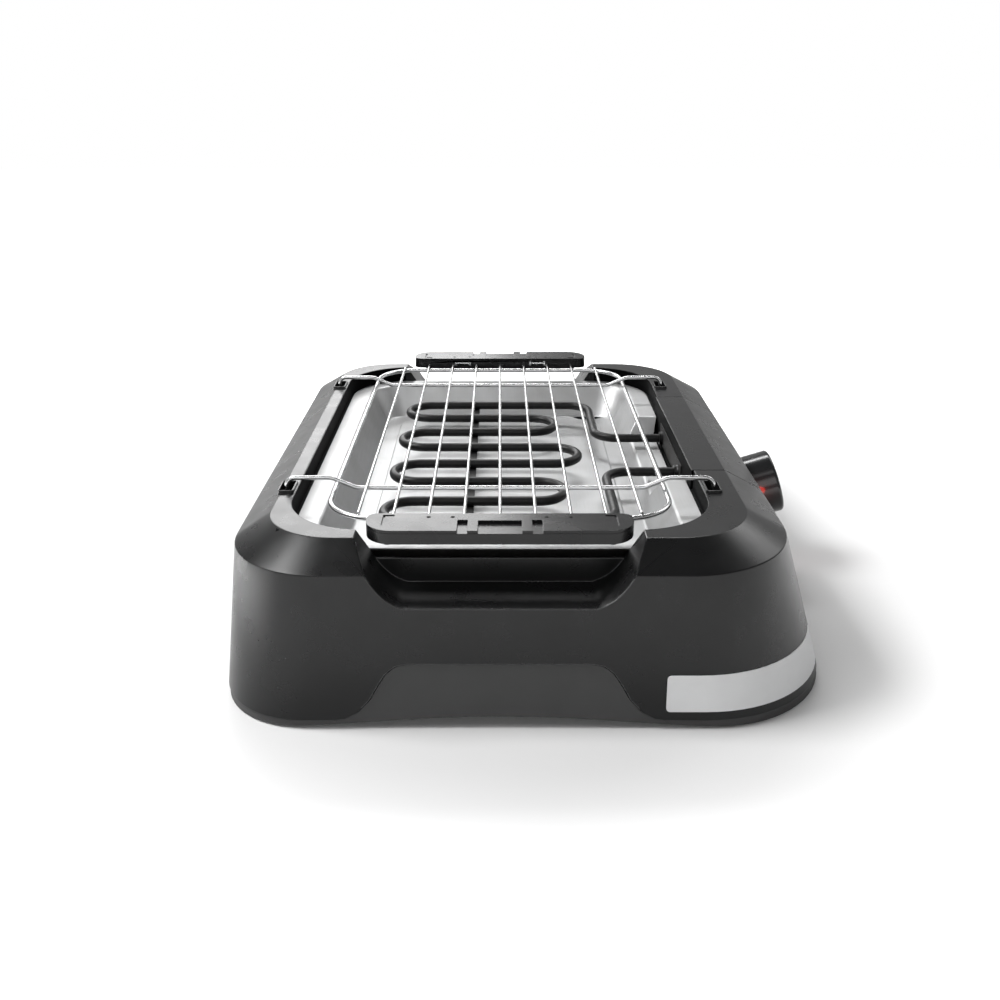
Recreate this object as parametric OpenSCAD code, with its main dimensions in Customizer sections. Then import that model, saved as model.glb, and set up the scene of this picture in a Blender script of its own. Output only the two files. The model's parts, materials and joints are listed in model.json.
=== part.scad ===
// Table-top electric grill: moulded housing, lift-out heating unit, reflector tray and wire rack.
// Millimetres, +Z up, the table at Z = 0. The cook stands at -Y; the control box is on the right.

/* [Housing] */
// Height of the flat top ring above the table
ring_z = 130; // [126:1:140]
// Drop of the sloped band from the ring to its lower edge
band_drop = 16; // [12:1:20]
// Width of the sloped band at the front and rear, seen from above
band_w = 27.4; // [22:0.1:32]
// Width of the band on the left
band_w_left = 25.7; // [22:0.1:30]
// Width of the band on the right
band_w_right = 30.2; // [26:0.1:34]
// Height of the skirt's bottom edge
skirt_z = 7.2; // [6:0.1:10]
// Left edge of the ring, from the rack's centre line
ring_left = 167; // [166:0.5:172]
// Right edge of the ring, from the rack's centre line
ring_right = 181; // [176:0.5:188]
// Depth of the ring, front to back
ring_depth = 472; // [468:1:484]
// Corner radius of the ring on the left
ring_corner_left = 50.5; // [46:0.5:56]
// Corner radius of the ring on the control side
ring_corner_right = 56.5; // [50:0.5:62]
// Corner radius of the band's lower edge on the left
band_corner_left = 72; // [64:1:80]
// Corner radius of the band's lower edge on the control side
band_corner_right = 86; // [78:1:92]
// Outward draft of the front, rear and left skirt
skirt_flare = 10.4; // [8:0.2:13]
// Outward draft of the right skirt, under the control box
control_flare = 33.8; // [28:0.1:38]
// Corner radius of the skirt's bottom edge on the left
skirt_corner_left = 66; // [60:1:80]
// Corner radius of the skirt's bottom edge on the right
skirt_corner_right = 100; // [92:1:108]
// Wall of the moulded housing
housing_wall = 2.8; // [2.4:0.1:3.4]
// Width of the opening inside the ring
opening_w = 312; // [310:1:314]
// Depth of the opening inside the ring
opening_depth = 443; // [440:1:446]
// Corner radius of the opening
opening_corner = 60; // [54:1:66]
// Height of the lower edge of the opening's wall
inner_wall_z = 104; // [100:0.5:105]

/* [Finger recesses and arches] */
// Height of the recess floor
recess_floor_z = 90.5; // [86:0.5:94]
// Half width of the flat recess floor
recess_half_w = 66; // [60:1:70]
// How far each recess side leans out up to the ring
recess_lean = 35; // [28:1:36]
// Height of the low wall at the back of each recess
recess_wall_z = 109.2; // [106:0.1:111]
// Height of the arches in the skirt
arch_z = 49.5; // [44:0.5:56]
// Half width of the arch at its flat top
arch_half_w = 63.5; // [56:0.5:70]
// Half width of the arch at the bottom edge
arch_foot_half_w = 108.5; // [102:0.5:114]

/* [Base pan and feet] */
// How far the pan's face stands back from the skirt's
base_inset = 1.4; // [1:0.1:2]
// Height of the pan's underside above the table
base_z = 0.6; // [0.4:0.1:1.2]
// How much higher the underside is in the middle
base_lift = 8.7; // [6:0.1:10]
// Height of the pan's rim inside the skirt
base_rim_z = 30; // [24:1:34]
// Wall of the base pan
base_wall = 2.4; // [2:0.1:3]
// Diameter of the rubber feet
foot_d = 22; // [16:1:26]
// Distance between the feet, front to back
foot_pitch_y = 400; // [370:1:420]

/* [Reflector tray] */
// Height of the flange's top face
tray_z = 115; // [114.5:0.1:116]
// Depth of the tray below its flange
tray_depth = 30; // [26:0.5:32]
// Width of the flange
flange_w = 18; // [15:0.5:20]
// Gap from the flange to the housing
tray_gap = 3; // [2:0.1:4]
// Corner radius of the mouth
mouth_r = 28; // [24:1:39]
// Corner radius of the floor
floor_r = 20; // [16:1:24]
// Inward lean of the walls
tray_lean = 16; // [12:0.5:20]
// Thickness of the sheet
tray_sheet = 0.8; // [0.6:0.1:1]

/* [Heating element] */
// Diameter of the sheathed tube
tube_d = 8; // [7:0.1:8.4]
// Height of the tube's centre line
tube_z = 106.5; // [105:0.5:107]
// Distance between neighbouring runs
run_pitch = 44.3; // [42:0.1:46]
// Leftmost point of the centre line, as a distance
bend_left = 91.5; // [84:0.5:96]
// Rightmost point of the middle bend's centre line
bend_mid_right = 70.2; // [60:0.2:74]
// Rightmost point of the two side bends' centre line
bend_side_right = 52.8; // [46:0.2:60]
// Centre line of the stretches that lead back from the outer runs
lead_x = 90.5; // [86:0.5:96]
// Half distance between the two leads into the control box
lead_half_y = 45.7; // [40:0.1:52]
// Bend radius of the leads
lead_bend = 20; // [16:1:24]

/* [Control box] */
// Middle of the control box, behind the middle of the rack
unit_y = 3; // [0:0.5:5]
// Width of the control box, front to back
box_w = 209; // [200:1:212]
// Height of the box's lower edge
box_z = 42; // [40:1:46]
// Inner face of the box, from the rack's centre line
box_x = 154.5; // [152:0.5:155]
// Wall of the control box
box_wall = 2.5; // [2:0.1:3]
// Seam between the box and the housing
box_seam = 0.5; // [0.4:0.1:0.8]

/* [Knob] */
// Diameter of the knob
knob_d = 57; // [48:1:60]
// Height of the knob
knob_h = 27.5; // [26:0.5:34]
// Gap between the knob and the wall
knob_gap = 1.2; // [0.8:0.1:2]
// Height at which the knob's axis meets the wall
knob_z = 73.3; // [72:0.5:78]
// Diameter of the thermostat's shaft
shaft_d = 6; // [5:0.5:8]
// Radial running clearance of the shaft
shaft_play = 0.06; // [0.03:0.01:0.1]

/* [Rack] */
// Centre height of the frame wire
frame_z = 131; // [130:0.5:132]
// Diameter of the frame wire
frame_d = 4; // [3.5:0.1:4.5]
// Half width of the rack, to the frame wire's centre
rack_half_w = 126; // [120:0.5:128]
// Half length of the rack, to the frame wire's centre
rack_half_l = 204.5; // [200:0.5:206]
// Bend radius of the frame wire at its corners
frame_bend = 37; // [30:1:44]
// Diameter of the grid wires
grid_d = 2.5; // [2:0.1:3]
// Number of grid wires
grid_count = 9; // [7:2:9]
// Distance between grid wires
grid_pitch = 25.4; // [22:0.2:26]
// Diameter of the two cross wires
cross_d = 3.5; // [3:0.1:4]
// Distance of each cross wire from the middle of the rack
cross_y = 144.5; // [120:0.5:146]
// Centre height of the cross wires' raised ends
wing_z = 139.5; // [138:0.5:142]
// Where the raised ends turn down, from the centre line
wing_foot_x = 163.5; // [163:0.1:164.5]

/* [Handles] */
// Length of a handle
handle_len = 185; // [160:1:188]
// Depth of a handle, front to back
handle_w = 31; // [26:1:34]
// Gap from the frame wire's outer side to each handle's inner edge
handle_gap = 11; // [9.5:0.5:15]
// Height of a handle's body
handle_h = 10.2; // [9.6:0.1:12]
// How far a handle's underside lies below the grid wires
handle_drop = 3.7; // [3:0.1:4.4]
// Thickness of a handle's top cover
handle_cover = 2.2; // [1.8:0.1:2.6]

/* [Pale strip] */
// Where the strip starts on the front, from the rack's centre line
strip_x = 115.5; // [110:0.5:124]
// Where the strip ends on the right side, from the middle
strip_back_y = 198; // [190:1:210]
// Lower edge of the strip
strip_low_z = 14; // [12:0.5:18]
// Upper edge of the strip
strip_high_z = 41.5; // [34:0.5:50]
// Thickness of the strip
strip_t = 0.5; // [0.3:0.1:0.8]

/* [Hidden] */
eps = 0.01;
cut = 1;                 // how far a cutting solid runs past the face it opens
gap = 0.4;               // clearance between bodies that part from each other
fine = 64;
loop_fn = 72;

band_z = ring_z - band_drop;
ring_hy = ring_depth / 2;
band_left = ring_left + band_w_left;
band_right = ring_right + band_w_right;
band_hy = ring_hy + band_w;
skirt_left = band_left + skirt_flare;
skirt_right = band_right + control_flare;
skirt_hy = band_hy + skirt_flare;
open_hx = opening_w / 2;
open_hy = opening_depth / 2;
band_h = band_z - skirt_z;

// The knob's axis is square to the flared right wall.
knob_tilt = atan(control_flare / band_h);
function wall_x(z) = band_right + control_flare * (band_z - z) / band_h;
knob_x = wall_x(knob_z);
knob_edge = 3;
knob_reach = (knob_gap + knob_h - knob_edge) * cos(knob_tilt)
           + (knob_d / 2 - knob_edge) * sin(knob_tilt) + knob_edge;
x_shift = (skirt_left - knob_x - knob_reach) / 2;

// Tray loops
flange_hx = open_hx - tray_gap;
flange_hy = open_hy - tray_gap / 2;
flange_r = opening_corner - tray_gap;
mouth_hx = flange_hx - flange_w;
mouth_hy = flange_hy - flange_w;
tray_floor_z = tray_z - tray_depth;
ledge_w = 9;
ledge_t = 3;
ledge_z = tray_z - tray_sheet - gap;
ledge_break_hx = 100;    // the ledge stops short of the recesses
notch_z = tube_z - tube_d / 2 - 4;      // top face of the flange where it dips under the leads
notch_low_hy = 78;
notch_top_hy = 86.4;
notch_lip_x = 150;

// Element loops
run_r = run_pitch / 2;
runs = 8;
run_end_y = run_pitch * (runs - 1) / 2;
lead_end_x = box_x + 14;

// Box
box_hy = box_w / 2;
bay_hy = box_hy + box_seam;
bay_x = box_x - box_seam;
bay_wall = 2.2;

// Rack heights
weld = 0.15;
grid_z = frame_z + (frame_d + grid_d) / 2 - weld;
cross_low_z = grid_z - (grid_d + cross_d) / 2 + weld;
cross_rise_x = rack_half_w - 16;
cross_top_x = rack_half_w + 3;
foot_bend = 6.5;
pocket_z = 123;
foot_z = pocket_z + gap;
pocket_lip = 2.2;
pocket_y = 3;            // how far the pockets' middle lies behind their wire
pocket_w = 9.4;
pocket_l = 20;
pocket_wall = 1.6;

// Posts that hold the housing to the base pan
posts = [[-178, 118], [-178, -118], [196, 140], [196, -140]];
post_d = 10;
screw_d = 3.4;
screw_head_d = 7;
foot_x = [-158, 178];
foot_sink = 1.2;
post_foot_z = skirt_z + 4;
thread = 0.6;            // depth of a screw's thread, left out of its solid
rim_inset = housing_wall + 0.5;
lift_hw = 185;           // half width of the pan's raised middle

panel_in = 16;
panel_rise = 1.5;
strap_x0 = -25;
strap_w = 8;
strap_t = 1.5;
bushing_d = 12;
bushing_out = box_x - notch_lip_x - 0.5;     // stands out of the box, short of the tray's lip
shield_hy = 60;
shield_low_z = notch_z + 1;
shield_top_z = 117;
neck_d = 10;
body_back = 28;
shaft_flat = 1.8;
hub_d = 15;
pointer_w = 2.4;
pointer_l = 15;
lens_y = -38;
lens_d = 8;
gland_y = 74;
gland_z = 66;
gland_d = 8;
switch_x = box_x + 20;
floor_top_z = box_z + 4.1;

handle_y = rack_half_l + frame_d / 2 + handle_gap;    // each handle's inner edge
handle_low_z = grid_z - handle_drop;
handle_top_z = handle_low_z + handle_h;
handle_split_z = handle_top_z - handle_cover;
handle_in_r = 8;
handle_out_r = 19;
handle_screw_x = 62;
foot_bump_x = 76.8;
foot_bump_h = 1.8;
rim_hx = 80.7;
rim_drop = 3.1;
wire_into_handle = 12;
clip_x = 40.2;
clip_w = 17.8;
clip_h = 5.4;
clip_bar = 1.5;
groove_x = 80.5;
groove_w = 1.6;
groove_l = 7;
clip_z = handle_split_z - clip_h - 0.3;
boss_h = 4.5;
screw_seat = 2;          // from a handle's underside up to its screws' heads
dimple_x = [32.7, 49.5];
dimple_d = 2.8;
window_w = 30;
window_y = 13;
slot_x = 25.7;
slot_w = 7;
slot_y = 12;

function arch_pts(g = 0) = let (a = arch_half_w - g, b = arch_foot_half_w - g, h = arch_z - g, w = b - a)
    [[b + 6, -cut], [b + 6, skirt_z + 0.2], [b, skirt_z + 1], [b - w * 0.21, h * 0.27], [b - w * 0.40, h * 0.46],
     [b - w * 0.52, h * 0.66], [b - w * 0.645, h * 0.84], [b - w * 0.74, h * 0.92], [a + w * 0.18, h * 0.97],
     [a, h]];
function both(p) = concat(p, [for (i = [len(p) - 1:-1:0]) [-p[i][0], p[i][1]]]);
function recess_pts(g = 0) = let (a = recess_half_w + g / 2, h = ring_z - recess_floor_z, z = recess_floor_z - g)
    [[a + recess_lean * 1.14, ring_z + cut * 6], [a + recess_lean, ring_z], [a + recess_lean * 0.715, z + h * 0.6],
     [a + recess_lean * 0.6, z + h * 0.43], [a + recess_lean * 0.475, z + h * 0.285],
     [a + recess_lean * 0.33, z + h * 0.155], [a + recess_lean * 0.16, z + h * 0.06], [a, z]];

module place() { translate([x_shift, 0, 0]) children(); }
module both_ends() { for (s = [0, 180]) rotate(s) children(); }

// Rounded rectangle whose left and right corners can differ
module plan(xl, xr, hy, rl, rr) {
    union() {
        translate([-xl + rl, -hy]) square([xl + xr - rl - rr, 2 * hy]);
        translate([-xl, -hy + rl]) square([rl + cut, 2 * (hy - rl)]);
        translate([xr - rr - cut, -hy + rr]) square([rr + cut, 2 * (hy - rr)]);
        for (s = [-1, 1]) {
            translate([-xl + rl, s * (hy - rl)]) circle(rl, $fn = loop_fn);
            translate([xr - rr, s * (hy - rr)]) circle(rr, $fn = loop_fn);
        }
    }
}
module slab(z, t = eps) { translate([0, 0, z]) linear_extrude(t) children(); }

// The housing's outer form; t moves every face inward, down runs it on past the bottom edge.
module form(t = 0, down = 0) {
    it = 0.27 * t;
    ib = 0.95 * t;
    hull() {
        slab(skirt_z - down) plan(skirt_left - t, skirt_right - t, skirt_hy - t,
                                  skirt_corner_left - t, skirt_corner_right - t);
        slab(band_z - 0.6 * t - eps) plan(band_left - ib, band_right - ib, band_hy - ib,
                                  band_corner_left - ib, band_corner_right - ib);
    }
    hull() {
        slab(band_z - 0.6 * t - eps) plan(band_left - ib, band_right - ib, band_hy - ib,
                                  band_corner_left - ib, band_corner_right - ib);
        slab(ring_z - t - eps) plan(ring_left - it, ring_right - it, ring_hy - it,
                                  ring_corner_left - it, ring_corner_right - it);
    }
}
module opening(grow, z0, z1) {
    slab(z0, z1 - z0) plan(open_hx + grow, open_hx + grow, open_hy + grow,
                           opening_corner + grow, opening_corner + grow);
}
// A shape drawn in Y and Z, run along X from x0 to x1
module along_x(x0, x1) { translate([x0, 0, 0]) rotate([90, 0, 90]) linear_extrude(x1 - x0) children(); }
// A shape drawn in X and Z, run along Y from y0 to y1
module along_y(y0, y1) { translate([0, y1, 0]) rotate([90, 0, 0]) linear_extrude(y1 - y0) children(); }

module pocket_plan(s, g) {
    translate([wing_foot_x, s * cross_y + pocket_y]) union() {
        square([pocket_w + 2 * g, pocket_l - 2], center = true);
        square([pocket_w - 2, pocket_l + 2 * g], center = true);
        for (x = [-1, 1]) for (y = [-1, 1])
            translate([x * (pocket_w / 2 - 1), y * (pocket_l / 2 - 1)]) circle(1 + g, $fn = 24);
    }
}
module pocket_block(s) { slab(pocket_z - 2, ring_z + pocket_lip - pocket_z + 2) pocket_plan(s, pocket_wall); }
module pocket_hollow(s) { slab(pocket_z, ring_z) pocket_plan(s, 0); }

module housing_shell() {
    color("#2f3032") place() difference() {
        union() {
            difference() {
                form();
                form(housing_wall, cut);
            }
            // wall and ledge of the opening
            opening(housing_wall - 0.3, inner_wall_z, ring_z - cut);
            // scoops behind the handles, screw posts, and the bay for the control box
            intersection() {
                form(cut);
                union() {
                    both_ends() along_y(open_hy - eps, skirt_hy)
                        polygon(both([for (p = recess_pts(housing_wall)) [p[0], min(p[1], ring_z)]]));
                    for (p = posts) translate([p[0], p[1], post_foot_z]) cylinder(d = post_d, h = ring_z, $fn = fine);
                    translate([bay_x - bay_wall, unit_y - bay_hy - bay_wall, box_z - gap - bay_wall])
                        cube([control_flare * 4, 2 * (bay_hy + bay_wall), ring_z]);
                }
            }
            for (s = [-1, 1]) for (m = [0, 1]) mirror([m, 0, 0]) pocket_block(s);
        }
        difference() {
            opening(0, inner_wall_z - cut, ring_z + cut);
            difference() {
                opening(cut, ledge_z - ledge_t, ledge_z);
                opening(-ledge_w, ledge_z - ledge_t - cut, ledge_z + cut);
                translate([-ledge_break_hx, -skirt_hy, ledge_z - ledge_t - cut])
                    cube([2 * ledge_break_hx, 2 * skirt_hy, ledge_t + 2 * cut]);
            }
            for (s = [-1, 1]) for (m = [0, 1]) mirror([m, 0, 0]) pocket_block(s);
        }
        for (s = [-1, 1]) for (m = [0, 1]) mirror([m, 0, 0]) pocket_hollow(s);
        both_ends() along_y(open_hy + housing_wall - 0.3, skirt_hy + cut) polygon(both(recess_pts()));
        both_ends() along_y(open_hy - cut * 0.3, open_hy + housing_wall) intersection() {
            polygon(both(recess_pts()));
            translate([-skirt_right, recess_wall_z]) square([2 * skirt_right, ring_z]);
        }
        along_y(-skirt_hy - cut, skirt_hy + cut) polygon(both(arch_pts()));
        for (p = posts) translate([p[0], p[1], skirt_z]) cylinder(d = screw_d - thread, h = 24, $fn = fine);
        translate([bay_x, unit_y - bay_hy, box_z - gap]) cube([control_flare * 5, 2 * bay_hy, ring_z]);
        translate([bay_x - bay_wall - ledge_w, unit_y - bay_hy, notch_z])
            cube([control_flare * 5, 2 * bay_hy, ring_z]);
    }
}

// The strip's outline, run through the skirt
module strip_outline() {
    translate([strip_x, -skirt_hy - cut, 0]) rotate([90, 0, 0]) mirror([0, 0, 1]) linear_extrude(skirt_hy)
        union() {
            translate([3, strip_low_z]) square([skirt_right, strip_high_z - strip_low_z]);
            translate([0, strip_low_z + 3]) square([6, strip_high_z - strip_low_z - 6]);
            for (z = [strip_low_z + 3, strip_high_z - 3]) translate([3, z]) circle(3, $fn = fine);
        }
}
module pale_strip() {
    color("#d4d6d8") place() difference() {
        intersection() {
            form(-strip_t);
            strip_outline();
            translate([strip_x, -skirt_hy - strip_t - cut, 0])
                cube([skirt_right, skirt_hy + strip_t + cut - strip_back_y, ring_z]);
        }
        form(-eps);
    }
}

// The skirt's cone from z0 to z1, every face moved inward by t
module pan_form(t, z0, z1) {
    hull() for (z = [z0, z1 - eps]) {
        k = (z - skirt_z) / band_h;
        slab(z) plan(skirt_left - skirt_flare * k - t, skirt_right - control_flare * k - t,
                     skirt_hy - skirt_flare * k - t,
                     skirt_corner_left + (band_corner_left - skirt_corner_left) * k - t,
                     skirt_corner_right + (band_corner_right - skirt_corner_right) * k - t);
    }
}
// Everything below the pan's underside, or below its floor plate's top with g its thickness
module under_pan(g, hw) {
    n = 16;
    along_y(-skirt_hy, skirt_hy) polygon(concat([[-hw, -cut]],
        [for (i = [0:n]) let (x = lift_hw * (2 * i / n - 1)) [x, base_z + g + base_lift * (1 + cos(180 * x / lift_hw)) / 2]],
        [[hw, -cut]]));
}
module base_pan() {
    color("#4b4c4e") place() difference() {
        union() {
            difference() {
                union() {
                    intersection() {
                        pan_form(base_inset, base_z, arch_z);
                        union() {
                            slab(0, skirt_z - gap) square(4 * skirt_hy, center = true);
                            along_y(-skirt_hy, skirt_hy) polygon(both(arch_pts(gap)));
                        }
                    }
                    pan_form(rim_inset, base_z, base_rim_z);
                }
                difference() {
                    pan_form(rim_inset + base_wall, base_z, arch_z + cut);
                    slab(0, base_z + base_wall) square(4 * skirt_hy, center = true);
                    under_pan(base_wall, lift_hw);
                }
            }
            for (p = posts) translate([p[0], p[1], base_z])
                cylinder(d = screw_head_d + 1 + 2 * base_wall, h = post_foot_z - base_z, $fn = fine);
        }
        under_pan(0, lift_hw);
        for (p = posts) translate([p[0], p[1], 0]) {
            cylinder(d = screw_d + 0.8, h = post_foot_z + cut, $fn = fine);
            cylinder(d = screw_head_d + 1, h = post_foot_z - base_wall, $fn = fine);
        }
        for (x = foot_x) for (s = [-1, 1]) translate([x, s * foot_pitch_y / 2, 0])
            cylinder(d = foot_d + 0.2, h = base_z + foot_sink, $fn = fine);
    }
}
module rubber_feet() {
    color("#1c1c1c") place() for (x = foot_x) for (s = [-1, 1]) translate([x, s * foot_pitch_y / 2, 0])
        rotate_extrude($fn = fine) polygon([[0, 0], [foot_d / 2 - 0.8, 0], [foot_d / 2, 0.8],
                                 [foot_d / 2, base_z + foot_sink], [0, base_z + foot_sink]]);
}
// Pan-head screw with its head's seat at Z = 0 and its shank pointing up
module screw(d, head_d, head_h, l) {
    difference() {
        rotate_extrude($fn = fine) polygon([[0, -head_h], [head_d / 2 - 0.6, -head_h], [head_d / 2, 0.6 - head_h],
            [head_d / 2, 0], [d / 2, 0], [d / 2, l - 1], [d / 4, l], [0, l]]);
        // cross for the screwdriver
        for (a = [0, 90]) rotate(a) translate([-head_d * 0.3, -head_d * 0.06, -head_h - cut])
            cube([head_d * 0.6, head_d * 0.12, cut + head_h * 0.55]);
    }
}
module case_screws() {
    color("#9b9da0") place() for (p = posts) translate([p[0], p[1], post_foot_z - base_wall])
        screw(screw_d - 0.1 - thread, screw_head_d, 2.6, 18);
}

// Sheet tray: flange, leaning walls and a floor with a raised panel
module tray_cup(t, top) {
    hull() {
        slab(tray_z - eps + top) plan(mouth_hx - t, mouth_hx - t, mouth_hy - t, mouth_r - t, mouth_r - t);
        slab(tray_floor_z + t) plan(mouth_hx - tray_lean - t, mouth_hx - tray_lean - t,
                                    mouth_hy - tray_lean - t, floor_r - t, floor_r - t);
    }
}
// Edge of the flange where it ramps down under the leads, as Y and Z; g is the sheet's thickness
function notch_pts(g) = let (run = notch_top_hy - notch_low_hy, k = run / (tray_z - notch_z),
                             side = g * sqrt(1 + k * k), up = k * cut)
    [[-notch_top_hy - side - up, tray_z + cut], [-notch_low_hy - side + g * k, notch_z - g],
     [notch_low_hy + side - g * k, notch_z - g], [notch_top_hy + side + up, tray_z + cut]];
module notch(g, x0, x1) { along_x(x0, x1) translate([unit_y, 0]) polygon(notch_pts(g)); }
module reflector_tray() {
    color("#c9cbcd") place() difference() {
        union() {
            slab(tray_z - tray_sheet, tray_sheet) plan(flange_hx, flange_hx, flange_hy, flange_r, flange_r);
            tray_cup(-tray_sheet, 0);
            intersection() {
                notch(tray_sheet, mouth_hx - tray_lean, notch_lip_x);
                slab(0, tray_z) square(4 * flange_hy, center = true);
            }
        }
        difference() {
            tray_cup(0, cut);
            slab(tray_floor_z - cut, panel_rise + cut) plan(mouth_hx - tray_lean - panel_in,
                mouth_hx - tray_lean - panel_in, mouth_hy - tray_lean - panel_in, floor_r, floor_r);
        }
        slab(tray_floor_z - cut - tray_sheet, panel_rise + cut) plan(mouth_hx - tray_lean - panel_in - tray_sheet,
                mouth_hx - tray_lean - panel_in - tray_sheet, mouth_hy - tray_lean - panel_in - tray_sheet,
                floor_r - tray_sheet, floor_r - tray_sheet);
        notch(0, mouth_hx - tray_lean - cut, flange_hx + cut);
    }
}

// Tube pieces: a straight along X, a straight along Y, and a bend about (x, y) from angle a over b
module tube_x(x0, x1, y) { translate([x0, y, tube_z]) rotate([0, 90, 0]) cylinder(d = tube_d, h = x1 - x0, $fn = 32); }
module tube_y(x, y0, y1) { translate([x, y1, tube_z]) rotate([90, 0, 0]) cylinder(d = tube_d, h = y1 - y0, $fn = 32); }
module tube_bend(x, y, r, a, b) {
    translate([x, y, tube_z]) rotate(a) rotate_extrude(angle = b, $fn = 96) translate([r, 0]) circle(d = tube_d, $fn = 32);
}
module element_half(lead_y) {
    xl = run_r - bend_left;
    xs = bend_side_right - run_r;
    xm = bend_mid_right - run_r;
    y = function(i) run_pitch * (i + 0.5);
    tube_x(xl, xm, y(0));
    tube_x(xl, xs, y(1));
    tube_x(xl, xs, y(2));
    tube_x(xl, lead_x - run_r, y(3));
    tube_bend(xl, y(0) + run_r, run_r, 90, 180);
    tube_bend(xl, y(2) + run_r, run_r, 90, 180);
    tube_bend(xs, y(1) + run_r, run_r, -90, 180);
    tube_bend(lead_x - run_r, y(3) - run_r, run_r, 0, 90);
    tube_y(lead_x, lead_y + lead_bend, y(3) - run_r);
    tube_bend(lead_x + lead_bend, lead_y + lead_bend, lead_bend, 180, 90);
    tube_x(lead_x + lead_bend, lead_end_x, lead_y);
}
module heating_element() {
    color("#26272a") place() {
        union() {
            element_half(lead_half_y + unit_y);
            mirror([0, 1, 0]) element_half(lead_half_y - unit_y);
            tube_bend(bend_mid_right - run_r, 0, run_r, -90, 180);
        }
    }
}
module element_strap() {
    hy = run_end_y + tube_d / 2 + strap_t;
    color("#3a3b3d") place() translate([strap_x0 - strap_w / 2, 0, tube_z - tube_d / 2 - strap_t]) {
        translate([0, -hy, 0]) cube([strap_w, 2 * hy, strap_t]);
        for (s = [0, 1]) mirror([0, s, 0]) translate([0, hy - strap_t, 0]) cube([strap_w, strap_t, tube_d]);
        for (i = [0:runs - 2]) translate([strap_w / 2 - 1, -run_end_y + run_pitch * i + tube_d / 2 + gap, strap_t])
            cube([2, strap_t, tube_d * 0.6]);
    }
}
module at_leads() {
    for (s = [-1, 1]) translate([box_x, unit_y + s * lead_half_y, tube_z]) rotate([0, 90, 0]) children();
}
module element_bushings() {
    color("#8d8f92") place() at_leads() difference() {
        union() {
            translate([0, 0, -bushing_out]) cylinder(d = bushing_d, h = bushing_out + box_wall + 6, $fn = fine);
            translate([0, 0, box_wall]) cylinder(d = bushing_d + 4, h = 2, $fn = 6);
        }
        translate([0, 0, -8]) cylinder(d = tube_d + 0.1, h = 30, $fn = fine);
    }
}
module terminal_pins() {
    color("#b9b9b4") place() at_leads() translate([0, 0, lead_end_x - box_x]) {
        cylinder(d = 3, h = 9, $fn = fine);
        translate([-3.2, -0.4, 8.5]) cube([6.4, 0.8, 9]);
    }
}
module heat_shield() {
    color("#b4b6b8") place() difference() {
        translate([box_x - 0.9, unit_y - shield_hy, shield_low_z])
            cube([0.8, 2 * shield_hy, shield_top_z - shield_low_z]);
        at_leads() translate([0, 0, -9]) cylinder(d = bushing_d + 0.4, h = 12, $fn = fine);
    }
}

// Local frame on the flared wall: +Z points out along the knob's axis
module on_wall(y, z) { translate([wall_x(z), unit_y + y, z]) rotate([0, 90 - knob_tilt, 0]) children(); }
box_posts_x = [box_x + 10, 200];
module box_block(g, z0) {
    translate([box_x + g, unit_y - box_hy + g, z0]) cube([control_flare * 4, box_w - 2 * g, ring_z]);
}
module at_box_posts() {
    for (x = box_posts_x) for (s = [-1, 1]) translate([x, unit_y + s * (box_hy - 9), 0]) children();
}
module control_cover() {
    color("#303133") place() difference() {
        union() {
            difference() {
                intersection() {
                    form();
                    box_block(0, box_z);
                }
                intersection() {
                    form(box_wall, cut);
                    box_block(box_wall, box_z - cut);
                }
            }
            intersection() {
                form(cut);
                at_box_posts() translate([0, 0, floor_top_z]) cylinder(d = 8, h = ring_z, $fn = fine);
            }
        }
        at_box_posts() translate([0, 0, box_z]) cylinder(d = thread + 2.2, h = 20, $fn = fine);
        at_leads() translate([0, 0, -cut]) cylinder(d = bushing_d + 0.1, h = box_wall + 2 * cut, $fn = fine);
        on_wall(0, knob_z) translate([0, 0, -box_wall * 3]) cylinder(d = neck_d + 0.2, h = box_wall * 6, $fn = fine);
        on_wall(lens_y, knob_z) translate([0, 0, -box_wall * 3]) cylinder(d = lens_d + 0.1, h = box_wall * 6, $fn = fine);
        on_wall(gland_y, gland_z) translate([0, 0, -box_wall * 3])
            cylinder(d = gland_d + 4, h = box_wall * 6, $fn = fine);
    }
}
module control_floor() {
    color("#37383a") place() difference() {
        intersection() {
            form(box_wall + 0.3, cut);
            translate([box_x + box_wall + 0.2, unit_y - box_hy + box_wall + 0.2, box_z + 1.6])
                cube([control_flare * 4, box_w - 2 * box_wall - 0.4, floor_top_z - box_z - 1.6]);
        }
        at_box_posts() cylinder(d = 3.4, h = ring_z, $fn = fine);
        translate([switch_x, unit_y, 0]) cylinder(d = 4.4, h = ring_z, $fn = fine);
        for (i = [-2:2]) translate([switch_x + 20, unit_y + i * 9 - 1.5 + 52, 0]) cube([18, 3, ring_z]);
    }
}
module control_screws() {
    color("#9b9da0") place() at_box_posts() translate([0, 0, box_z + 1.6]) screw(thread + 2.1, 5.6, 1.3, 16);
}
module thermostat_body() {
    color("#8a7f6a") place() on_wall(0, knob_z) difference() {
        union() {
            translate([0, 0, -body_back]) linear_extrude(body_back - 6) hull()
                for (x = [-1, 1]) for (y = [-1, 1]) translate([x * 13, y * 15]) circle(4, $fn = 32);
            translate([0, 0, -6.5]) cylinder(d = 22, h = 2, $fn = fine);
            translate([0, 0, -5]) cylinder(d = neck_d, h = 5 + 5, $fn = fine);
            for (y = [-9, 9]) translate([-3.2, y - 0.4, -body_back - 8]) cube([6.4, 0.8, 9]);
        }
        translate([0, 0, -body_back + 6]) cylinder(r = shaft_d / 2 + shaft_play, h = 40, $fn = fine);
    }
}
module shaft_profile(h, d, flat) {
    difference() {
        cylinder(d = d, h = h, $fn = fine);
        translate([flat, -d, -cut]) cube([d, 2 * d, h + 2 * cut]);
    }
}
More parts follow.
